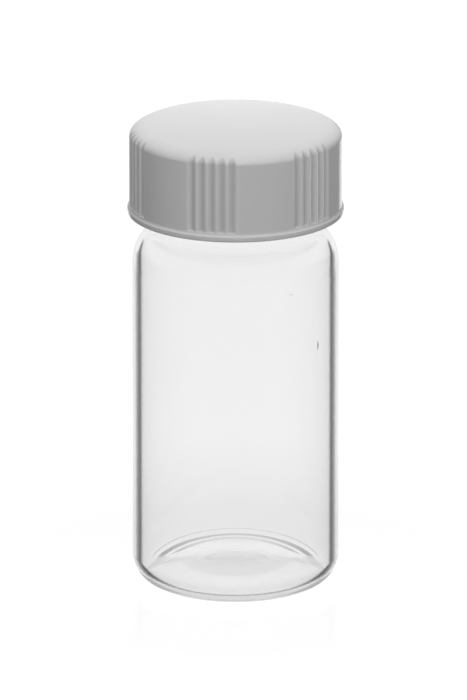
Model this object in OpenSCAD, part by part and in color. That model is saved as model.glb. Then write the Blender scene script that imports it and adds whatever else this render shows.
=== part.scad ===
// Clear glass sample vial with a fluted screw cap and a sealing disc.
// Lengths are in millimetres and angles in degrees. +Z runs up the axis of the vial, and the
// origin is the centre of the foot ring that the vial stands on.

/* [Glass body] */
// Outside diameter of the straight wall
body_d = 26.5; // [25:0.1:30]
// Height of the glass from the foot ring to the rim
glass_h = 57.6; // [45:0.1:80]
// Thickness of the straight wall
wall = 1; // [0.7:0.05:1.5]
// Radius of the rounded heel, outside
heel_r = 3.4; // [2.5:0.1:4.5]
// Radius of the corner between wall and floor, inside
floor_corner_r = 2.35; // [1.5:0.05:3.5]
// Thickness of the floor
floor_t = 0.95; // [0.6:0.05:2]
// Width of the flat foot ring
foot_w = 1.5; // [0.8:0.1:2.5]
// Rise of the pushed-up base at its middle
push_up = 0.6; // [0.4:0.05:1.5]

/* [Shoulder and neck] */
// Distance from the rim down to the start of the shoulder
shoulder_drop = 14.75; // [14.5:0.05:18]
// Radius of the shoulder, outside
shoulder_r = 4.2; // [3.5:0.1:5.5]
// Outside diameter of the neck between its threads
neck_d = 21.5; // [20.5:0.1:22]
// Thickness of the neck between its bore and its threads
neck_wall = 1.0; // [0.9:0.05:3]
// Radius of the hollow between shoulder and neck, outside
neck_fillet = 1.2; // [0.6:0.1:2]
// Radius where the bore opens into the body, inside
bore_fillet = 2.2; // [0.8:0.1:2.5]
// Radius of the two edges of the rim
rim_r = 0.4; // [0.2:0.05:0.4]

/* [Neck thread] */
// Rise of the thread in one turn
pitch = 3.175; // [3:0.005:3.6]
// Height of the neck's thread above the neck
thread_h = 1.05; // [0.8:0.05:1.2]
// Width of the neck's thread at the neck
thread_base_w = 2.3; // [1.9:0.05:2.4]
// Width of the neck's thread at its crest
thread_crest_w = 1.1; // [0.8:0.05:1.2]
// Turns of thread on the neck
thread_turns = 1.25; // [1:0.05:1.4]
// Distance from the rim down to the middle of the thread's upper end
thread_drop = 2.2; // [1.8:0.1:2.6]

/* [Screw cap] */
// Thickness of the skirt
cap_wall = 1.575; // [1.2:0.005:2.5]
// Height of the cap
cap_h = 11.4; // [10.5:0.1:12.5]
// Thickness of the cap's top
cap_top_t = 1.55; // [1.1:0.05:2]
// Radius of the cap's upper edge
cap_edge_r = 1.65; // [1:0.05:2]
// How far the bead at the lower edge stands out from the skirt
bead_out = 0.25; // [0.15:0.01:0.5]
// Height of the bead's upright face
bead_h = 0.7; // [0.5:0.05:1.2]
// Radius of the hollow that leads from the skirt out to the bead
flare_r = 0.5; // [0.4:0.1:2.5]
// Radius of the bead's lower edge
bead_edge_r = 0.2; // [0.1:0.05:0.4]
// Gap all round between the neck's thread and the inside of the cap
cap_gap = 0.25; // [0.15:0.05:0.4]

/* [Cap thread] */
// Gap all round between the cap's thread and the neck
cap_thread_gap = 0.3; // [0.2:0.05:0.4]
// Gap above and below the cap's thread, between the turns of the neck's
cap_thread_play = 0.25; // [0.15:0.05:0.35]
// Turns of thread in the cap
cap_thread_turns = 1; // [0.8:0.05:1.3]
// Height from the cap's lower edge to the middle of the thread's lower end
cap_thread_lift = 1.5; // [1.2:0.1:2]

/* [Grip flutes] */
// Number of groups of flutes round the skirt
flute_groups = 6; // [3:1:8]
// Number of flutes in a group
flutes_per_group = 5; // [2:1:6]
// Angle from one flute to the next in a group
flute_step = 5.6; // [5.2:0.1:6.5]
// Direction of the first group, counter-clockwise from +X
flute_direction = 16.8; // [0:0.1:60]
// Width of a flute at the skirt
flute_w = 1.1; // [0.7:0.05:1.15]
// Depth of a flute
flute_depth = 0.3; // [0.15:0.05:0.4]
// Height from the bead's upright face to the lower end of the flutes
flute_lift = 0.4; // [0.1:0.05:1]

/* [Sealing disc] */
// Thickness of the disc
liner_t = 1.6; // [1:0.1:2.2]
// Gap all round between the disc and the inside of the cap
liner_gap = 0.3; // [0.1:0.05:0.5]

/* [Hidden] */
$fn = 96;

// How far a cut runs past the faces that it opens
past = 1;
// How deep the root of a thread is sunk into the wall that carries it, and its crest at its two ends
thread_root = 0.3;
thread_end = 0.12;
// Straight pieces in one turn of a thread, and the angle over which its ends fade into the wall
thread_steps = 48;
thread_fade = 40;

body_r = body_d / 2;
inner_r = body_r - wall;
neck_r = neck_d / 2;
bore_r = neck_r - neck_wall;
shoulder_z = glass_h - shoulder_drop;
foot_out_r = body_r - heel_r;
foot_in_r = foot_out_r - foot_w;
// Radius of the sphere that the pushed-up base follows, and the height of its centre
push_r = (foot_in_r * foot_in_r + push_up * push_up) / (2 * push_up);
push_z = push_up - push_r;

thread_r = neck_r + thread_h;
thread_slope = (thread_base_w - thread_crest_w) / thread_h;
// The neck's thread runs down from its upper end. Its lower end lies in the direction +X
thread_z = glass_h - thread_drop - thread_turns * pitch;

cap_in_r = thread_r + cap_gap;
cap_r = cap_in_r + cap_wall;
bead_r = cap_r + bead_out;
cap_ceiling_z = glass_h + liner_t;
cap_top_z = cap_ceiling_z + cap_top_t;
cap_z = cap_top_z - cap_h;
bead_top_z = cap_z + bead_h;
flare_h = sqrt(flare_r * flare_r - (flare_r - bead_out) * (flare_r - bead_out));
// The cap's thread lies half a pitch below the neck's, on the same helix, and fills the groove
// between the turns of the neck's thread, less the play
cap_thread_z = cap_z + cap_thread_lift;
cap_thread_direction = (cap_thread_z - thread_z + pitch / 2) / pitch * 360;
cap_thread_r = neck_r + cap_thread_gap;
groove_w = pitch - thread_base_w - 2 * cap_thread_play;
cap_thread_crest_w = groove_w + thread_slope * cap_thread_gap;
cap_thread_base_w = groove_w + thread_slope * (cap_in_r - neck_r);
flute_r = (flute_w * flute_w / 4 + flute_depth * flute_depth) / (2 * flute_depth);

liner_r = cap_in_r - liner_gap;

// Half section of a bottle with a rounded lower corner, a rounded shoulder and a straight neck.
// floor_z and top_z are its ends, r and neck its two radii, corner, arc and fillet its roundings
module bottle_section(r, neck, floor_z, corner, arc, fillet, top_z) {
    arc_centre = [r - arc, shoulder_z];
    fillet_r = neck + fillet;
    fillet_z = shoulder_z + sqrt((arc + fillet) * (arc + fillet)
        - (fillet_r - arc_centre[0]) * (fillet_r - arc_centre[0]));
    translate([0, floor_z + corner]) square([r, shoulder_z - floor_z - corner]);
    translate([0, floor_z]) square([r - corner, corner + past]);
    translate([r - corner, floor_z + corner]) circle(corner);
    translate([0, shoulder_z - past]) square([arc_centre[0], arc + past]);
    translate(arc_centre) circle(arc);
    translate([0, shoulder_z]) square([neck, top_z - shoulder_z]);
    difference() {
        polygon([arc_centre, [fillet_r, fillet_z], [0, fillet_z], [0, shoulder_z]]);
        translate([fillet_r, fillet_z]) circle(fillet);
    }
}

// What is cut away to round an outer corner at [r, z] by the radius round_r. side is 1 where the
// solid lies towards the axis and -1 where it lies away from it, and up is 1 for an upper edge
module edge_cut(r, z, round_r, side, up) {
    centre = [r - side * round_r, z - up * round_r];
    difference() {
        translate([side > 0 ? centre[0] : r - past, up > 0 ? centre[1] : z - past])
            square(round_r + past);
        translate(centre) circle(round_r);
    }
}

// Half section of the glass: the outer form, less the inside with its domed floor and the hollow
// under the base
module glass_section() {
    difference() {
        bottle_section(body_r, neck_r, 0, heel_r, shoulder_r, neck_fillet, glass_h);
        difference() {
            bottle_section(inner_r, bore_r, floor_t, floor_corner_r, shoulder_r - wall,
                bore_fillet, glass_h + past);
            translate([0, push_z]) circle(push_r + floor_t);
        }
        translate([0, push_z]) circle(push_r);
        edge_cut(neck_r, glass_h, rim_r, 1, 1);
        edge_cut(bore_r, glass_h, rim_r, -1, 1);
    }
}

// A thread: one rib along a right-hand helix, with its root sunk into the wall. wall_r and crest_r
// are its radii at the wall and at the crest, base_w and crest_w its widths there, and low_z is the
// height of its middle at its lower end
module thread(wall_r, crest_r, base_w, crest_w, turns, direction, low_z) {
    outward = crest_r > wall_r ? 1 : -1;
    root_r = wall_r - outward * thread_root;
    root_w = base_w + (base_w - crest_w) * thread_root / abs(crest_r - wall_r);
    steps = ceil(turns * thread_steps);
    last = steps * 4;
    points = [
        for (i = [0 : steps])
            let (
                turned = 360 * turns * i / steps,
                from_end = min(turned, 360 * turns - turned),
                shown = min(1, from_end / thread_fade),
                tip_r = wall_r + (crest_r - wall_r) * shown - outward * thread_end * (1 - shown),
                z = low_z + pitch * turned / 360,
                section = [
                    [root_r, z - root_w / 2],
                    [tip_r, z - crest_w / 2],
                    [tip_r, z + crest_w / 2],
                    [root_r, z + root_w / 2]
                ]
            )
            for (k = [0 : 3])
                let (corner = section[outward > 0 ? k : 3 - k])
                [corner[0] * cos(direction + turned), corner[0] * sin(direction + turned), corner[1]]
    ];
    sides = [
        for (i = [0 : steps - 1], k = [0 : 3])
            let (a = 4 * i + k, b = 4 * i + (k + 1) % 4)
            each [[a, b, b + 4], [a, b + 4, a + 4]]
    ];
    ends = [[2, 1, 0], [3, 2, 0], [last, last + 1, last + 2], [last, last + 2, last + 3]];
    polyhedron(points, concat(sides, ends));
}

// Half section of the cap, with its rounded upper edge and the bead at its lower edge
module cap_section() {
    difference() {
        union() {
            translate([0, cap_z]) square([cap_r, cap_h]);
            difference() {
                translate([0, cap_z]) square([bead_r, bead_h + flare_h]);
                translate([cap_r + flare_r, bead_top_z + flare_h]) circle(flare_r);
            }
        }
        edge_cut(cap_r, cap_top_z, cap_edge_r, 1, 1);
        edge_cut(bead_r, cap_z, bead_edge_r, 1, -1);
        translate([0, cap_z - past]) square([cap_in_r, cap_ceiling_z - cap_z + past]);
    }
}

// The groups of upright flutes, as round bars that are cut out of the skirt down to the bead
module flutes() {
    for (group = [0 : flute_groups - 1], flute = [0 : flutes_per_group - 1])
        rotate(flute_direction + group * 360 / flute_groups
            + (flute - (flutes_per_group - 1) / 2) * flute_step)
            translate([cap_r - flute_depth + flute_r, 0, bead_top_z + flute_lift])
                cylinder(r = flute_r, h = cap_top_z - bead_top_z);
}

// The bottle of clear glass, with its threaded neck
module glass_vial() {
    color([0.93, 0.95, 0.95, 0.4])
        union() {
            rotate_extrude() glass_section();
            thread(neck_r, thread_r, thread_base_w, thread_crest_w, thread_turns, 0, thread_z);
        }
}

// The moulded cap of off-white plastic
module screw_cap() {
    color([0.78, 0.78, 0.78])
        union() {
            difference() {
                rotate_extrude() cap_section();
                flutes();
            }
            thread(cap_in_r, cap_thread_r, cap_thread_base_w, cap_thread_crest_w, cap_thread_turns,
                cap_thread_direction, cap_thread_z);
        }
}

// The sealing disc between the rim and the cap's ceiling
module cap_liner() {
    color([0.9, 0.9, 0.88])
        translate([0, 0, glass_h]) cylinder(r = liner_r, h = liner_t);
}

glass_vial();
screw_cap();
cap_liner();
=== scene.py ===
"""Looks of a clear glass sample vial with a fluted screw cap and a sealing disc.

Lengths are in metres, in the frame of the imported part: +Z runs up the axis and the foot ring stands
on z = 0. Every piece is a section of (r, z) points turned round that axis, with its threads and
flutes added as a height field over the angle and the height.
"""

import math

import bpy
import numpy as np
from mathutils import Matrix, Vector


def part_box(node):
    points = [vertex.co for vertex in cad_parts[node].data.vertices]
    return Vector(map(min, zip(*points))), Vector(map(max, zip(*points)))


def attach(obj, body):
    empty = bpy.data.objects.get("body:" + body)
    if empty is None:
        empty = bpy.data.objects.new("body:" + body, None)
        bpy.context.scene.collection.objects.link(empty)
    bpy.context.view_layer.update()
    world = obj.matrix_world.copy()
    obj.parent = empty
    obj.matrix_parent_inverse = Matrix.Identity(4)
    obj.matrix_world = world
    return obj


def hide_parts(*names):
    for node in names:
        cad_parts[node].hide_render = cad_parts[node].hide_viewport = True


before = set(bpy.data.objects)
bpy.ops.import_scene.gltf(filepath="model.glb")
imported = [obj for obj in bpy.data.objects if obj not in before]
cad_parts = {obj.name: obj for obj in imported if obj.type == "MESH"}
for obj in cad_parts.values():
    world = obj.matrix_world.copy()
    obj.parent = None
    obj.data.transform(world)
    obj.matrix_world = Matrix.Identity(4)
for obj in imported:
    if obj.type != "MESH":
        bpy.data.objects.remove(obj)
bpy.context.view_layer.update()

MM = 0.001
NEAR = 1e-7

# Glass body
BODY_R = 13.25 * MM
WALL = 1.0 * MM
INNER_R = BODY_R - WALL
HEEL_R = 3.4 * MM
FLOOR_CORNER_R = 2.35 * MM
FLOOR_T = 0.95 * MM
FOOT_OUT_R = BODY_R - HEEL_R
FOOT_IN_R = FOOT_OUT_R - 1.5 * MM
PUSH_UP = 0.6 * MM
VIAL_COLUMNS = 192

# Shoulder, neck and the neck's thread
RIM_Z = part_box("glass_vial")[1].z
SHOULDER_Z = RIM_Z - 14.3 * MM
SHOULDER_R = 4.2 * MM
SHOULDER_EASE = 1.6
NECK_R = 10.75 * MM
BORE_R = NECK_R - WALL
NECK_FILLET = 1.2 * MM
RIM_R = 0.4 * MM
PITCH = 3.175 * MM
THREAD_H = 1.05 * MM
THREAD_BASE_W = 2.3 * MM
THREAD_CREST_W = 1.1 * MM
THREAD_TURNS = 1.25
THREAD_Z = RIM_Z - 2.2 * MM - THREAD_TURNS * PITCH
THREAD_FADE = math.radians(40)

# Screw cap
CAP_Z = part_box("screw_cap")[0].z
CAP_TOP_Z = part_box("screw_cap")[1].z
CAP_IN_R = NECK_R + THREAD_H + 0.25 * MM
CAP_R = CAP_IN_R + 1.575 * MM
CEILING_Z = CAP_TOP_Z - 1.55 * MM
CAP_EDGE_R = 2.4 * MM
CAP_EDGE_H = 1.3 * MM
CEILING_FILLET = 0.35 * MM
BEAD_R = CAP_R + 0.245 * MM
BEAD_TOP_Z = CAP_Z + 0.7 * MM
BEAD_EDGE_R = 0.2 * MM
BEAD_LIP = 0.06 * MM
FLARE_R = 0.5 * MM
FLARE_ANGLE = math.degrees(math.acos(1 - (BEAD_R - CAP_R) / FLARE_R))
FLARE_LIP_ANGLE = 2.0
FLARE_TOP_Z = BEAD_TOP_Z + FLARE_R * math.sin(math.radians(FLARE_ANGLE))
CAP_THREAD_PLAY = 0.25 * MM
CAP_THREAD_R = NECK_R + 0.3 * MM
CAP_THREAD_TURNS = 1.0
CAP_THREAD_Z = CAP_Z + 1.5 * MM
CAP_THREAD_START = 2 * math.pi * (CAP_THREAD_Z - THREAD_Z + PITCH / 2) / PITCH

# Grip flutes: groups of upright hollows in the skirt, which fade out on the cap's rounded upper edge
FLUTE_GROUPS = 6
FLUTES = 5
FLUTE_STEP = math.radians(5.6)
FLUTE_START = math.radians(16.8)
FLUTE_DEPTH = 0.3 * MM
FLUTE_Z = BEAD_TOP_Z + 0.4 * MM
FLUTE_LEDGE = 0.12 * MM
FLUTE_FADE = 0.35
FLUTE_MARGIN = math.radians(1)
FLUTED_COLUMNS = 90
PLAIN_COLUMNS = 14

# Sealing disc
LINER_R = CAP_IN_R - 0.3 * MM
LINER_EDGE_R = 0.2 * MM
RIM_MARK = 0.05 * MM
LINER_COLUMNS = 120

# Glass: its grey as it is seen, the grey of the painted glow that ends light trapped in it, and its grey as
# it lets light pass
GLASS_TINT = 0.893
GLASS_MEAN = 0.62
GLASS_PASSES = 0.95

# Painted shade: the dark line down each side of the glass, drawn by facing in place of a dark room. Facing
# is 0 where a face is seen square on and 1 where it is seen edge on. Stops are pairs of a facing, or of a
# share of the floor's reach, and a darkness. A pair of heights, or of lengths down the corner between wall
# and floor, is where an ease starts and ends
CRITICAL_FACING = 0.2587
SIDE_LINE = (
    (0.06, 0.0), (0.11, 0.02), (0.162, 0.05), (0.2012, 0.1), (0.231, 0.18), (0.2364, 0.22), (0.2419, 0.3),
    (0.2473, 0.55), (0.253, 0.93), (CRITICAL_FACING, 1.0), (0.2645, 0.93), (0.2705, 0.83), (0.2764, 0.66),
    (0.282, 0.38), (0.288, 0.14), (0.294, 0.05), (0.301, 0.0),
)
LINE_END_Z = (45.65 * MM, 45.15 * MM)
LINE_TAPER_Z = (44.0 * MM, 45.5 * MM)
LINE_TAPER = 2.2
LINE_HEEL_START = (-0.5 * MM, 0.6 * MM)
LINE_HEEL_END = (1.7 * MM, 1.0 * MM)
LINE_HEEL_WIDENING = 0.5
LINE_FLOOR_REACH = 2.5 * MM
LINE_FLOOR_FADE = ((0.32, 1.0), (0.88, 0.2))
LINE_UNDERSIDE = 0.1

# Painted dark rings of the corner between wall and floor, a painted shade: length down the corner, lean
# with facing, half width and its growth with facing, darkness and its growth with facing
PAINTED_CORNER_RINGS = (
    (0.61 * MM, 2.32 * MM, 0.08 * MM, 0.0, 0.1, 0.45),
    (1.3 * MM, 2.3 * MM, 0.09 * MM, 0.25 * MM, 0.27, 0.65),
    (1.56 * MM, 2.74 * MM, 0.08 * MM, 0.0, 0.04, 0.75),
)
RING_EDGE = (1.3, 0.6)
RING_END_FACING = (0.56, 0.44)

# Painted shade on the outside, as soft greys, and the reach, bend and edge of the small marks on it
HEEL_FRONT = 0.26
HEEL_SIDES = 0.5
WALL_EDGE = 0.1
MARK_REACH = 0.5 * MM
MARK_BEND = 0.5
MARK_EDGE = (1.2, 0.6)

# Cap's flutes: how much painted shade darkens the hollows and how polished the ribs are
HOLLOW_PAINTED_SHADE = 0.32
RIB_POLISH = 0.8

# Table: its glow by the distance from the axis, painted light and shade that is full under the base, dimmer
# round it and brighter again further out, its share of shadow and its faint mirror
TABLE_REACH = 80 * MM
TABLE_WHITE = (
    (0.0, 1.0), (11.2 * MM, 1.0), (13 * MM, 0.98), (18 * MM, 0.88), (30 * MM, 0.86), (60 * MM, 0.96),
)
TABLE_LIT = 0.2
TABLE_MIRROR = 0.06
TABLE_MIRROR_R = (36 * MM, 14 * MM)

# Room: its grey where it lights a piece
ROOM_AS_LIGHT = 0.04

# Painted shade on the table under the base, seen through the glass: a lens between two discs and a wing on
# each side of it
LENS_R = 8.3 * MM
LENS_BACK_R = 7.0 * MM
LENS_BACK_Y = 6.0 * MM
LENS_EDGE = 0.1 * MM
LENS_GREY = 0.15
WING_Y = 5.4 * MM
WING_WAIST_X = 7.5 * MM
WING_WAIST = 1.0 * MM
WING_FLARE = 0.2 / MM
WING_EDGE = (1.2, 0.7)
WING_START_X = (4.5 * MM, 5.5 * MM)
WING_DARKER_X = (7.0 * MM, 10.0 * MM)
WING_END_R = (12.8 * MM, 12.0 * MM)
WING_GREY = 0.17
PAINTED_SHADE_FACING = (0.5, 0.66)

# Photograph: its frame in pixels, the vial's place in it and the camera's height above the horizon
FRAME_PX = (467, 700)
AXIS_X_PX = 235.6
FOOT_Y_PX = 577.8
PX_PER_MM = 7.785
ELEVATION = math.radians(17.54)
CAMERA_DISTANCE = 2.0
SENSOR = 36.0


def arc(centre, radius, start, end, steps, rise=None):
    """Points of an arc in the half section: centre + (radius * cos, rise * sin) of an angle in degrees,
    with rise the same as radius unless the arc is an oval's."""
    angle = np.radians(np.linspace(start, end, steps + 1))
    r = centre[0] + radius * np.cos(angle)
    z = centre[1] + (rise or radius) * np.sin(angle)
    return np.stack([r, z], axis=1)


def line(start, end, steps):
    """Points of a straight stretch in the half section, evenly spaced from start to end."""
    share = np.linspace(0, 1, steps + 1)[:, None]
    return (1 - share) * np.array(start) + share * np.array(end)


def wall(start, end, steps):
    """Points of a straight stretch that lie closer at its ends, at shares (1 - cos) / 2 of half a turn."""
    share = (1 - np.cos(np.linspace(0, math.pi, steps + 1)[:, None])) / 2
    return (1 - share) * np.array(start) + share * np.array(end)


def joined(*stretches):
    """One section from stretches that follow each other, without the points that two of them share."""
    points = np.concatenate(stretches)
    step = np.linalg.norm(np.diff(points, axis=0), axis=1)
    return points[np.concatenate([[True], step > NEAR])]


def smooth(value):
    """Eases a share from 0 to 1: 3 v squared less 2 v cubed, with v held between 0 and 1."""
    share = np.clip(value, 0, 1)
    return share * share * (3 - 2 * share)


def shoulder():
    """The outside's curve from the wall up to the neck, with the outward direction at each point. It leaves
    the wall with no bend, its turn growing as the share of its length to the power SHOULDER_EASE, to where
    an arc of radius NECK_FILLET bends it back up into the neck."""
    hollow_r = NECK_R + NECK_FILLET
    across = hollow_r - (BODY_R - SHOULDER_R)
    rise = math.sqrt((SHOULDER_R + NECK_FILLET) ** 2 - across ** 2)
    meeting = math.atan2(rise, across)
    turn = meeting * np.linspace(0, 1, 61) ** SHOULDER_EASE
    middle = (turn[1:] + turn[:-1]) / 2
    inward, upward = (np.concatenate([[0], np.cumsum(part)]) for part in (np.sin(middle), np.cos(middle)))
    meet_r = BODY_R - SHOULDER_R + SHOULDER_R * math.cos(meeting)
    meet_z = SHOULDER_Z + SHOULDER_R * math.sin(meeting)
    length = (BODY_R - meet_r) / inward[-1]
    bend = np.stack([BODY_R - length * inward, meet_z + length * (upward - upward[-1])], axis=1)
    hollow = arc((hollow_r, SHOULDER_Z + rise), NECK_FILLET, math.degrees(meeting) + 180, 180, 18)
    turn = np.concatenate([turn, np.linspace(meeting, 0, len(hollow))])
    return np.concatenate([bend, hollow]), np.stack([np.cos(turn), np.sin(turn)], axis=1)


def domed(radius, height, rise, steps):
    """A shallow dome from the axis out to a radius: height + rise * (1 - (r / radius) squared) squared."""
    r = np.linspace(0, radius, steps + 1)
    return np.stack([r, height + rise * (1 - (r / radius) ** 2) ** 2], axis=1)


def round_angles(columns):
    """Angles of columns spaced evenly over a whole turn."""
    return np.linspace(0, 2 * math.pi, columns, endpoint=False)


def helix_rib(z, angle, low_z, start, turns, base_w, crest_w, height):
    """How far a thread stands out at each height and angle. Along its helix the rib's middle climbs one
    pitch a turn; across it the height eases down from the crest's width to the base's, and at both ends it
    eases away. The rib is the highest of the turns that pass a point."""
    turn = np.arange(math.ceil(turns) + 1)[:, None, None]
    turned = np.mod(angle - start, 2 * math.pi)[None, None, :] + 2 * math.pi * turn
    across = np.abs(z[None, :, None] - low_z - PITCH * turned / (2 * math.pi))
    from_end = np.minimum(turned, 2 * math.pi * turns - turned)
    rib = smooth((base_w / 2 - across) / (base_w / 2 - crest_w / 2)) * smooth(from_end / THREAD_FADE)
    return height * rib.max(axis=0)


def turned_piece(name, body, node, material, section, angles, outward=0.0, marks=None):
    """Turns a section that starts and ends on the axis into a closed surface. The point at row i and
    column j is (r cos a, r sin a, z), with r the section's radius plus outward, and a the column's angle.
    marks are named values at the section's points, or at every point, which the material reads."""
    rings, columns = len(section) - 2, len(angles)
    r = section[1:-1, :1] + outward
    z = np.broadcast_to(section[1:-1, 1:], (rings, columns))
    grid = np.stack([r * np.cos(angles), r * np.sin(angles), z], axis=-1).reshape(-1, 3)
    poles = np.array([[0, 0, section[0, 1]], [0, 0, section[-1, 1]]])
    column = np.arange(columns)
    beside = (column + 1) % columns
    ring = np.arange(rings - 1)[:, None] * columns
    quads = np.stack([ring + column, ring + beside, ring + columns + beside, ring + columns + column],
                     axis=-1).reshape(-1, 4)
    first, last = rings * columns, rings * columns + 1
    top = (rings - 1) * columns
    start_fan = np.stack([np.full(columns, first), beside, column], axis=-1)
    end_fan = np.stack([top + column, top + beside, np.full(columns, last)], axis=-1)
    mesh = bpy.data.meshes.new(name)
    mesh.from_pydata(np.concatenate([grid, poles]).tolist(), [],
                     start_fan.tolist() + quads.tolist() + end_fan.tolist())
    mesh.shade_smooth()
    mesh.materials.append(material)
    for mark, along in (marks or {}).items():
        values = np.append(np.broadcast_to(along[1:-1], (rings, columns)), along[[0, -1], 0])
        mesh.attributes.new(mark, "FLOAT", "POINT").data.foreach_set("value", values.astype(np.float32))
    piece = bpy.data.objects.new(name, mesh)
    bpy.context.scene.collection.objects.link(piece)
    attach(piece, body)
    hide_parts(node)
    return piece


def vial_glass(material):
    """The bottle: from the middle of the pushed-up base out over the foot and heel, up the outside to the
    rim, and down the inside to the middle of the floor."""
    outside, outward = shoulder()
    inside = (outside - WALL * outward)[::-1]
    floor_r = INNER_R - FLOOR_CORNER_R
    section = joined(
        domed(FOOT_IN_R, 0, PUSH_UP, 20),
        line((FOOT_IN_R, 0), (FOOT_OUT_R, 0), 3),
        arc((FOOT_OUT_R, HEEL_R), HEEL_R, -90, 0, 36),
        wall((BODY_R, HEEL_R), outside[0], 32),
        outside,
        line(outside[-1], (NECK_R, RIM_Z - RIM_R), 84),
        arc((NECK_R - RIM_R, RIM_Z - RIM_R), RIM_R, 0, 90, 8),
        arc((BORE_R + RIM_R, RIM_Z - RIM_R), RIM_R, 90, 180, 8),
        line((BORE_R, RIM_Z - RIM_R), inside[0], 8),
        inside,
        wall(inside[-1], (INNER_R, FLOOR_T + FLOOR_CORNER_R), 32),
        arc((floor_r, FLOOR_T + FLOOR_CORNER_R), FLOOR_CORNER_R, 0, -90, 30),
        domed(FOOT_IN_R, FLOOR_T, PUSH_UP, 24)[::-1],
    )
    angles = round_angles(VIAL_COLUMNS)
    r, z = section[1:-1].T
    on_neck = ((r > NECK_R - RIM_R / 2) & (z > outside[-1, 1]))[:, None]
    rib = on_neck * helix_rib(z, angles, THREAD_Z, 0, THREAD_TURNS, THREAD_BASE_W, THREAD_CREST_W, THREAD_H)
    row = np.arange(len(section))
    inner = row >= np.argmax((section[:, 1] > RIM_Z - RIM_R) & (section[:, 0] < BORE_R + RIM_R))
    path = np.cumsum(np.linalg.norm(np.diff(section, axis=0, prepend=section[:1]), axis=1))
    corner = np.argmax(inner & (section[:, 1] < FLOOR_T + FLOOR_CORNER_R + NEAR))
    marks = {
        "inner_face": inner[:, None],
        "underside": (row <= np.argmax(section[:, 0] > FOOT_OUT_R - NEAR))[:, None],
        "down_corner": np.where(inner, path - path[corner], -1.0)[:, None],
    }
    return turned_piece("vial_glass", "vial", "glass_vial", material, section, angles, rib,
                        marks)


def flute_wave(angle):
    """The flutes round the skirt, as a share of the hollows and one of the ribs beside them: (1 + cos) / 2
    and (1 - cos) / 2 of a whole turn for each step between flutes, over the width of a group, and 0 between
    groups."""
    spread = 2 * math.pi / FLUTE_GROUPS
    in_group = np.mod(angle - FLUTE_START + spread / 2, spread) - spread / 2
    wave = np.cos(2 * math.pi * in_group / FLUTE_STEP)
    fluted = np.abs(in_group) < FLUTES / 2 * FLUTE_STEP
    return (1 + wave) / 2 * fluted, (1 - wave) / 2 * fluted


def flute_angles():
    """Angles of the cap's columns: close together over each group of flutes and further apart between."""
    reach = FLUTES / 2 * FLUTE_STEP + FLUTE_MARGIN
    spread = 2 * math.pi / FLUTE_GROUPS
    fine = np.linspace(-reach, reach, FLUTED_COLUMNS, endpoint=False)
    coarse = np.linspace(reach, spread - reach, PLAIN_COLUMNS, endpoint=False)
    group = np.arange(FLUTE_GROUPS)[:, None] * spread
    return (FLUTE_START + group + np.concatenate([fine, coarse])).reshape(-1)


def cap_moulding(material):
    """The cap: from the middle of its ceiling out and down the inside, round the lower edge, up the bead
    and the skirt, and over the rounded upper edge to the middle of the top."""
    edge = CAP_R - CAP_EDGE_R
    inside = joined(
        line((0, CEILING_Z), (CAP_IN_R - CEILING_FILLET, CEILING_Z), 5),
        arc((CAP_IN_R - CEILING_FILLET, CEILING_Z - CEILING_FILLET), CEILING_FILLET, 90, 0, 4),
        line((CAP_IN_R, CEILING_Z - CEILING_FILLET), (CAP_IN_R, CAP_Z + BEAD_EDGE_R), 52),
        arc((CAP_IN_R + BEAD_EDGE_R, CAP_Z + BEAD_EDGE_R), BEAD_EDGE_R, 180, 270, 4),
    )
    outside = joined(
        line((CAP_IN_R + BEAD_EDGE_R, CAP_Z), (BEAD_R - BEAD_EDGE_R, CAP_Z), 2),
        arc((BEAD_R - BEAD_EDGE_R, CAP_Z + BEAD_EDGE_R), BEAD_EDGE_R, -90, 0, 5),
        line((BEAD_R, CAP_Z + BEAD_EDGE_R), (BEAD_R, BEAD_TOP_Z - BEAD_LIP), 2),
        arc((CAP_R + FLARE_R, FLARE_TOP_Z), FLARE_R, 180 + FLARE_ANGLE - FLARE_LIP_ANGLE, 180, 26),
        wall((CAP_R, FLARE_TOP_Z), (CAP_R, CAP_TOP_Z - CAP_EDGE_H), 14),
        arc((edge, CAP_TOP_Z - CAP_EDGE_H), CAP_EDGE_R, 0, 90, 32, CAP_EDGE_H),
        line((edge, CAP_TOP_Z), (edge / 2, CAP_TOP_Z), 3),
        line((edge / 2, CAP_TOP_Z), (0, CAP_TOP_Z), 3),
    )
    section = joined(inside, outside)
    angles = flute_angles()
    r, z = section[1:-1].T
    slope = (THREAD_BASE_W - THREAD_CREST_W) / THREAD_H
    groove = PITCH - THREAD_BASE_W - 2 * CAP_THREAD_PLAY
    rib = helix_rib(z, angles, CAP_THREAD_Z, CAP_THREAD_START, CAP_THREAD_TURNS,
                    groove + slope * (CAP_IN_R - NECK_R), groove + slope * (CAP_THREAD_R - NECK_R),
                    CAP_IN_R - CAP_THREAD_R)
    on_wall = (np.abs(r - CAP_IN_R) < NEAR)[:, None]
    on_skirt = (np.arange(len(r)) >= len(inside) - 1) & (r < CAP_R + NEAR)
    ends = (on_skirt * smooth((z - FLUTE_Z) / FLUTE_LEDGE + 0.5))[:, None]
    fading = (FLUTE_FADE * (CAP_R - r) / FLUTE_DEPTH)[:, None]
    hollow, crest = (ends * np.maximum(share - fading, 0) for share in flute_wave(angles))
    marks = {"hollow": np.pad(hollow, ((1, 1), (0, 0))), "crest": np.pad(crest, ((1, 1), (0, 0)))}
    return turned_piece("cap_moulding", "cap", "screw_cap", material, section, angles,
                        -FLUTE_DEPTH * hollow - on_wall * rib, marks)


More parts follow.
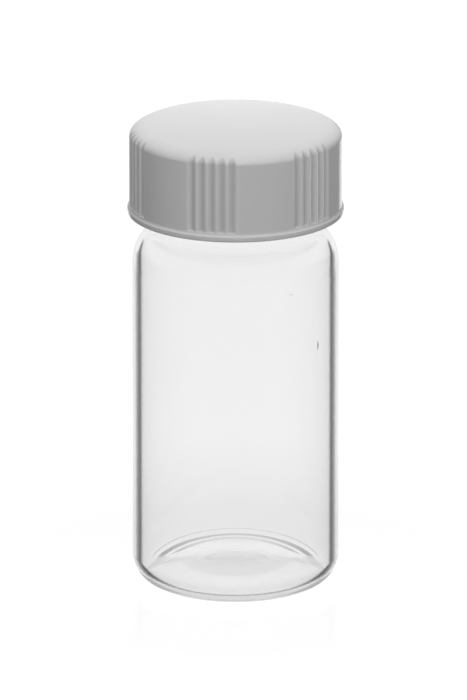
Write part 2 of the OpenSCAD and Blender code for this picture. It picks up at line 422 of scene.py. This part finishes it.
def liner_disc(material):
    """The sealing disc: a flat disc with rounded edges and the shallow ring that the rim has pressed in its
    lower face."""
    low, high = (corner.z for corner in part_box("cap_liner"))
    edge = LINER_R - LINER_EDGE_R
    face = np.linspace(0, edge, 60)
    pressed = smooth((face - BORE_R) / RIM_R) * smooth((NECK_R - face) / RIM_R)
    section = joined(
        np.stack([face, low + RIM_MARK * pressed], axis=1),
        arc((edge, low + LINER_EDGE_R), LINER_EDGE_R, -90, 0, 6),
        arc((edge, high - LINER_EDGE_R), LINER_EDGE_R, 0, 90, 6),
        line((edge, high), (0, high), 4),
    )
    return turned_piece("liner_disc", "liner", "cap_liner", material, section,
                        round_angles(LINER_COLUMNS))


class Wire:
    """A number that a node gives. Python's operators on it add Math nodes."""

    def __init__(self, sheet, socket):
        self.sheet = sheet
        self.socket = socket

    def maths(self, operation, first, second=0.0):
        return self.sheet.add("ShaderNodeMath", {"operation": operation}, {0: first, 1: second})["Value"]

    def __add__(self, other):
        return self.maths("ADD", self, other)

    def __sub__(self, other):
        return self.maths("SUBTRACT", self, other)

    def __rsub__(self, other):
        return self.maths("SUBTRACT", other, self)

    def __mul__(self, other):
        return self.maths("MULTIPLY", self, other)

    def __truediv__(self, other):
        return self.maths("DIVIDE", self, other)

    def __pow__(self, other):
        return self.maths("POWER", self, other)

    def __abs__(self):
        return self.maths("ABSOLUTE", self)

    __radd__ = __add__
    __rmul__ = __mul__


class Sheet:
    """The node tree of a material or of the world."""

    def __init__(self, owner):
        owner.use_nodes = True
        self.tree = owner.node_tree
        self.tree.nodes.clear()
        is_world = isinstance(owner, bpy.types.World)
        self.output = "ShaderNodeOutputWorld" if is_world else "ShaderNodeOutputMaterial"

    def add(self, kind, settings=None, sockets=None):
        """Adds a node of a type, sets its settings and a ramp's stops first, then fills its sockets with
        values or links. Gives its outputs by name."""
        node = self.tree.nodes.new(kind)
        for name, value in (settings or {}).items():
            if name == "stops":
                self.set_stops(node.color_ramp, value)
            else:
                setattr(node, name, value)
        for key, value in (sockets or {}).items():
            socket = node.inputs[key] if isinstance(key, int) else next(
                s for s in node.inputs if s.name == key and s.enabled)
            if isinstance(value, Wire):
                self.tree.links.new(value.socket, socket)
            else:
                socket.default_value = value
        return {s.name: Wire(self, s) for s in node.outputs if s.enabled}

    def set_stops(self, ramp, stops):
        """Sets a ramp's stops from pairs of a place and a grey level."""
        while len(ramp.elements) > 1:
            ramp.elements.remove(ramp.elements[-1])
        for index, (place, level) in enumerate(stops):
            element = ramp.elements[0] if index == 0 else ramp.elements.new(place)
            element.position = place
            element.color = grey(level)

    def ramp(self, value, stops):
        """A number looked up along stops of (place, level), straight between them."""
        return self.add("ShaderNodeValToRGB", {"stops": stops}, {"Fac": value})["Color"]

    def ease(self, value, start, end):
        """Eases from 0 where the value is start to 1 where it is end."""
        return self.add("ShaderNodeMapRange", {"interpolation_type": "SMOOTHSTEP"}, {
            "Value": value, "From Min": start, "From Max": end})["Result"]

    def band(self, value, rise, fall):
        """Eases up over one pair of values and down again over another, which starts at its far end."""
        return self.ease(value, *rise) * self.ease(value, *fall)

    def mark(self, name):
        """A value that a piece holds at its points."""
        return self.add("ShaderNodeAttribute", {"attribute_name": name})["Fac"]

    def facing(self):
        """0 where a face is seen square on and 1 where it is seen edge on."""
        return self.add("ShaderNodeLayerWeight", {}, {"Blend": 0.5})["Facing"]

    def object_place(self):
        """The place on the piece, in its own frame."""
        return self.add("ShaderNodeTexCoord")["Object"]

    def part(self, vector, axis):
        """A vector's share along X, Y or Z."""
        return self.add("ShaderNodeSeparateXYZ", {}, {0: vector})[axis]

    def along(self, vector, direction):
        """A vector's share along a direction of length 1."""
        return self.add("ShaderNodeVectorMath", {"operation": "DOT_PRODUCT"},
                        {0: vector, 1: direction})["Value"]

    def distance(self, place, middle):
        """How far a place lies from a point."""
        return self.add("ShaderNodeVectorMath", {"operation": "DISTANCE"},
                        {0: place, 1: middle})["Value"]

    def noise(self, place, scale, detail):
        """Soft noise from 0 to 1, with scale waves in a metre."""
        return self.add("ShaderNodeTexNoise", {},
                        {"Vector": place, "Scale": scale, "Detail": detail})["Fac"]

    def mix(self, share, first, second):
        """A colour between two colours."""
        return self.add("ShaderNodeMix", {"data_type": "RGBA"},
                        {"Factor": share, "A": first, "B": second})["Result"]

    def bump(self, height, distance):
        """A normal from a height from 0 to 1 that stands for a distance."""
        return self.add("ShaderNodeBump", {}, {"Height": height, "Distance": distance})["Normal"]

    def blend(self, share, first, second):
        """A surface between two surfaces."""
        return self.add("ShaderNodeMixShader", {}, {0: share, 1: first, 2: second})["Shader"]

    def surface(self, shader):
        """Ends the tree in its output."""
        self.add(self.output, {}, {"Surface": shader})


def grey(level):
    """A neutral colour."""
    return (level, level, level, 1)


def new_material(name):
    """A material and its node tree."""
    material = bpy.data.materials.new(name)
    return material, Sheet(material)


def painted_side_line(sheet, facing, height, down_corner):
    """The dark line down each side. In a studio, light that meets the inner face from within the wall, near
    the angle of total reflection, comes from a dark part of the room. The room here is white all round, so
    the material darkens that narrow range of angles. The line tapers off on the shoulder, widens round the
    heel and fades across the floor."""
    at_heel = sheet.band(down_corner, LINE_HEEL_START, LINE_HEEL_END)
    taper = LINE_TAPER * sheet.ease(height, *LINE_TAPER_Z)
    off = (facing - CRITICAL_FACING) * (1 - LINE_HEEL_WIDENING * at_heel + taper)
    dark = sheet.ramp(CRITICAL_FACING + off, SIDE_LINE)
    on_floor = sheet.ramp(down_corner / LINE_FLOOR_REACH, LINE_FLOOR_FADE)
    on_inner_face = sheet.mark("inner_face") * sheet.ease(height, *LINE_END_Z) * on_floor
    return dark * (on_inner_face + LINE_UNDERSIDE * sheet.mark("underside"))


def painted_corner_rings(sheet, facing, down_corner):
    """Painted shade: dark rings round the corner between wall and floor, which bends light the most. The
    more the face turns from the view, the further down the corner a ring lies and the darker it is, and the
    middle one widens."""
    rings = 0
    for middle, lean, half, widening, dark, darkening in PAINTED_CORNER_RINGS:
        across = abs(down_corner - lean * facing - middle)
        ring = sheet.ease(across / (half + widening * facing), *RING_EDGE)
        rings = rings + ring * (dark + darkening * facing)
    return rings * sheet.ease(facing, *RING_END_FACING)


def painted_outside_shade(sheet, facing, height):
    """Painted shade on the outside, as soft greys: the heel's front, the heel's turned sides and the wall's
    edge.
    """
    front = HEEL_FRONT * sheet.ease(height, 2.1 * MM, 1.6 * MM) * sheet.ease(facing, 0.72, 0.55)
    turned = sheet.band(facing, (0.55, 0.7), (0.98, 0.86))
    sides = HEEL_SIDES * turned * sheet.band(height, (0.6 * MM, 1.1 * MM), (2.4 * MM, 1.8 * MM))
    edge = WALL_EDGE * sheet.ease(facing, 0.75, 0.9) * sheet.ease(height, 2.0 * MM, 5.0 * MM)
    return front + sides + edge


def small_mark(sheet, place, angle, mark_z, half_w, half_h):
    """A small mark on the outside, at an angle to the right of the front and a height: an upright oval that
    bends to one side at both ends."""
    turn = math.radians(angle)
    right = (math.cos(turn), math.sin(turn), 0)
    outward = (math.sin(turn), -math.cos(turn), 0)
    middle = (BODY_R * outward[0], BODY_R * outward[1], mark_z)
    off = sheet.add("ShaderNodeVectorMath", {"operation": "SUBTRACT"}, {0: place, 1: middle})["Vector"]
    aside = sheet.along(off, right) / half_w
    above = sheet.along(off, (0, 0, 1)) / half_h
    deep = sheet.along(off, outward) / MARK_REACH
    return sheet.ease((aside + MARK_BEND * above * above) ** 2 + above ** 2 + deep ** 2, *MARK_EDGE)


def clear_glass():
    """Clear glass with painted dark lines, rings and greys in place of those that a studio draws in it.
    Light that is mirrored again and again inside the wall ends in a painted glow of a mean grey, and light
    on its way to another piece passes straight through."""
    material, sheet = new_material("clear_glass")
    facing = sheet.facing()
    inside = sheet.add("ShaderNodeNewGeometry")["Backfacing"]
    outer_face = 1 - sheet.mark("inner_face")
    down_corner = sheet.mark("down_corner")
    place = sheet.object_place()
    height = sheet.part(place, "Z")
    # Painted shade: the dark side line, seen from within the wall
    lines = painted_side_line(sheet, facing, height, down_corner) * inside
    # Painted shade: the corner's dark rings and the outside's soft greys
    shades = painted_corner_rings(sheet, facing, down_corner) + painted_outside_shade(sheet, facing, height) * outer_face
    marks = (0.5 * small_mark(sheet, place, 52.6, 33.85 * MM, 0.17 * MM, 0.62 * MM)
             + 0.2 * small_mark(sheet, place, 32.8, 41.6 * MM, 0.24 * MM, 0.14 * MM))
    dark = lines + shades * (1 - inside) + marks * outer_face
    glass = sheet.add("ShaderNodeBsdfPrincipled", {}, {
        "Base Color": grey(GLASS_TINT), "Roughness": 0.0, "IOR": 1.5, "Transmission Weight": 1.0})["BSDF"]
    dim = sheet.add("ShaderNodeBsdfDiffuse", {}, {"Color": grey(0.02)})["BSDF"]
    rays = sheet.add("ShaderNodeLightPath")
    # Painted glow: light mirrored again and again inside the wall glows at a mean grey
    painted_glow = sheet.add("ShaderNodeEmission", {}, {"Color": grey(GLASS_MEAN)})["Emission"]
    mirrored = sheet.ease(rays["Glossy Depth"], 2.0, 3.0)
    seen = sheet.blend(mirrored, sheet.blend(dark, glass, dim), painted_glow)
    straight = sheet.add("ShaderNodeBsdfTransparent", {}, {"Color": grey(GLASS_PASSES)})["BSDF"]
    sheet.surface(sheet.blend(rays["Is Shadow Ray"] + rays["Is Diffuse Ray"], seen, straight))
    return material


def cap_plastic():
    """Satin off-white plastic, with the fine grain and faint flow shades of a moulding. The flutes' hollows
    are darkened with painted shade, their ribs are polished, and the upright faces shine where seen edge
    on."""
    material, sheet = new_material("cap_plastic")
    place = sheet.object_place()
    grain = sheet.noise(place, 9000.0, 3.0)
    flow = sheet.noise(place, 160.0, 2.0)
    colour = sheet.mix(flow, (0.715, 0.715, 0.715, 1), (0.745, 0.745, 0.742, 1))
    # Painted shade: the flutes' hollows are darkened in the colour
    colour = sheet.mix(HOLLOW_PAINTED_SHADE * sheet.mark("hollow"), colour, grey(0.3))
    normal = sheet.add("ShaderNodeTexCoord")["Normal"]
    upright = sheet.ease(sheet.part(normal, "Z"), 0.35, 0.1)
    polish = RIB_POLISH * sheet.mark("crest")
    gloss = polish + (1 - polish) * upright * sheet.ease(sheet.facing(), 0.75, 0.82)
    plastic = sheet.add("ShaderNodeBsdfPrincipled", {}, {
        "Base Color": colour, "Roughness": 0.28 + 0.08 * grain, "IOR": 1.49, "Specular IOR Level": 0.05,
        "Coat Weight": gloss, "Normal": sheet.bump(grain, 0.004 * MM)})["BSDF"]
    sheet.surface(plastic)
    return material


def liner_foam():
    """Pale foam sheet with a fine closed-cell grain."""
    material, sheet = new_material("liner_foam")
    cells = sheet.noise(sheet.object_place(), 6000.0, 3.0)
    colour = sheet.mix(cells, (0.78, 0.78, 0.76, 1), (0.88, 0.88, 0.86, 1))
    foam = sheet.add("ShaderNodeBsdfPrincipled", {}, {
        "Base Color": colour, "Roughness": 0.75 + 0.15 * cells, "IOR": 1.45,
        "Normal": sheet.bump(cells, 0.02 * MM)})["BSDF"]
    sheet.surface(foam)
    return material


def painted_table_shade(sheet, place, from_axis):
    """Painted shade that the table shows through the base at low angles of view. A lens is where a disc
    round the axis crosses a disc behind it. On each side is a wing, a bar whose half width grows from its
    waist with the square of the distance aside."""
    behind = sheet.distance(place, (0, LENS_BACK_Y, 0))
    lens = (sheet.ease(from_axis, LENS_R + LENS_EDGE, LENS_R - LENS_EDGE)
            * sheet.ease(behind, LENS_BACK_R + LENS_EDGE, LENS_BACK_R - LENS_EDGE))
    aside = abs(sheet.part(place, "X"))
    off = abs(sheet.part(place, "Y") - WING_Y)
    half = WING_WAIST + WING_FLARE * (aside - WING_WAIST_X) ** 2
    bar = sheet.ease(off / half, *WING_EDGE) * sheet.ease(aside, *WING_START_X)
    wings = bar * (1 - lens) * sheet.ease(from_axis, *WING_END_R) * (1 + sheet.ease(aside, *WING_DARKER_X))
    return (LENS_GREY * lens + WING_GREY * wings) * sheet.ease(sheet.facing(), *PAINTED_SHADE_FACING)


def floor_white():
    """White table: it glows at the background's white, with painted light and shade by the distance from
    the axis that dims it a little round the object, keeps a soft share of shadow and mirrors faintly. What
    is seen through the glass has the painted shade under the base as well."""
    material, sheet = new_material("floor_white")
    rays = sheet.add("ShaderNodeLightPath")
    place = sheet.object_place()
    from_axis = sheet.distance(place, (0, 0, 0))
    # Painted light and shade: the table's glow is set by the distance from the axis
    white = sheet.ramp(from_axis / TABLE_REACH, [(r / TABLE_REACH, level) for r, level in TABLE_WHITE])
    # Painted shade under the base, which only light through the glass sees
    painted_shade = painted_table_shade(sheet, place, from_axis) * (1 - rays["Is Camera Ray"])
    white = sheet.mix(painted_shade, white, grey(0.0))
    colour = sheet.mix(rays["Is Diffuse Ray"], white, grey(0.0))
    glow = sheet.add("ShaderNodeEmission", {}, {"Color": colour})["Emission"]
    lit = sheet.add("ShaderNodeBsdfDiffuse", {}, {"Color": grey(TABLE_LIT)})["BSDF"]
    table = sheet.add("ShaderNodeAddShader", {}, {0: glow, 1: lit})["Shader"]
    mirror = sheet.add("ShaderNodeBsdfGlossy", {}, {"Color": grey(1.0), "Roughness": 0.03})["BSDF"]
    sheet.surface(sheet.blend(TABLE_MIRROR * sheet.ease(from_axis, *TABLE_MIRROR_R), table, mirror))
    return material


def white_room():
    """The room: white wherever it is seen directly, mirrored or through the glass, and dimmer as light."""
    world = bpy.data.worlds.new("World")
    bpy.context.scene.world = world
    sheet = Sheet(world)
    sky = sheet.mix(sheet.add("ShaderNodeLightPath")["Is Diffuse Ray"], grey(1.0), grey(ROOM_AS_LIGHT))
    sheet.surface(sheet.add("ShaderNodeBackground", {}, {"Color": sky, "Strength": 1.0})["Background"])


def soft_light(name, place, size, power):
    """A square soft box at a place, turned to the cap, that shows nowhere itself."""
    lamp = bpy.data.lights.new(name, "AREA")
    lamp.shape = "SQUARE"
    lamp.size = size
    lamp.energy = power
    box = bpy.data.objects.new(name, lamp)
    box.location = place
    aim = Vector((0, 0, CAP_Z)) - box.location
    box.rotation_euler = aim.to_track_quat("-Z", "Y").to_euler()
    box.visible_glossy = False
    box.visible_transmission = False
    box.visible_camera = False
    bpy.context.scene.collection.objects.link(box)


def floor():
    """A flat table top under the foot ring, as one square of a grid of two by two points."""
    half, drop = 3.0, 0.02 * MM
    x, y = (axis.reshape(-1) for axis in np.meshgrid([-half, half], [-half, half]))
    mesh = bpy.data.meshes.new("floor")
    mesh.from_pydata(np.stack([x, y, np.full(4, -drop)], axis=1).tolist(), [], [(0, 1, 3, 2)])
    mesh.materials.append(floor_white())
    top = bpy.data.objects.new("floor", mesh)
    bpy.context.scene.collection.objects.link(top)


def camera():
    """A long lens at the photograph's height above the horizon. It aims at the point of the axis that lies
    at the middle of the photograph's frame."""
    lens = bpy.data.cameras.new("camera")
    lens.sensor_width = SENSOR
    lens.lens = SENSOR * CAMERA_DISTANCE / (FRAME_PX[1] / PX_PER_MM * MM)
    aim = Vector(((FRAME_PX[0] / 2 - AXIS_X_PX) / PX_PER_MM * MM, 0,
                  (FOOT_Y_PX - FRAME_PX[1] / 2) / PX_PER_MM * MM / math.cos(ELEVATION)))
    back = Vector((0, -math.cos(ELEVATION), math.sin(ELEVATION)))
    view = bpy.data.objects.new("camera", lens)
    view.location = aim + CAMERA_DISTANCE * back
    view.rotation_euler = (-back).to_track_quat("-Z", "Y").to_euler()
    bpy.context.scene.collection.objects.link(view)
    bpy.context.scene.camera = view


vial_glass(clear_glass())
# The glass and the table mirror the white room in place of the cap's dark underside
cap_moulding(cap_plastic()).visible_glossy = False
liner_disc(liner_foam())
floor()
white_room()
soft_light("overhead", place=(0.0, -0.12, 0.75), size=0.6, power=3.15)
soft_light("top_back", place=(0.0, 0.045, 0.1), size=0.03, power=0.016)
soft_light("front_fill", place=(0.09, -0.92, 0.45), size=0.4, power=3.45)
camera()
bpy.context.scene.view_settings.view_transform = "Standard"
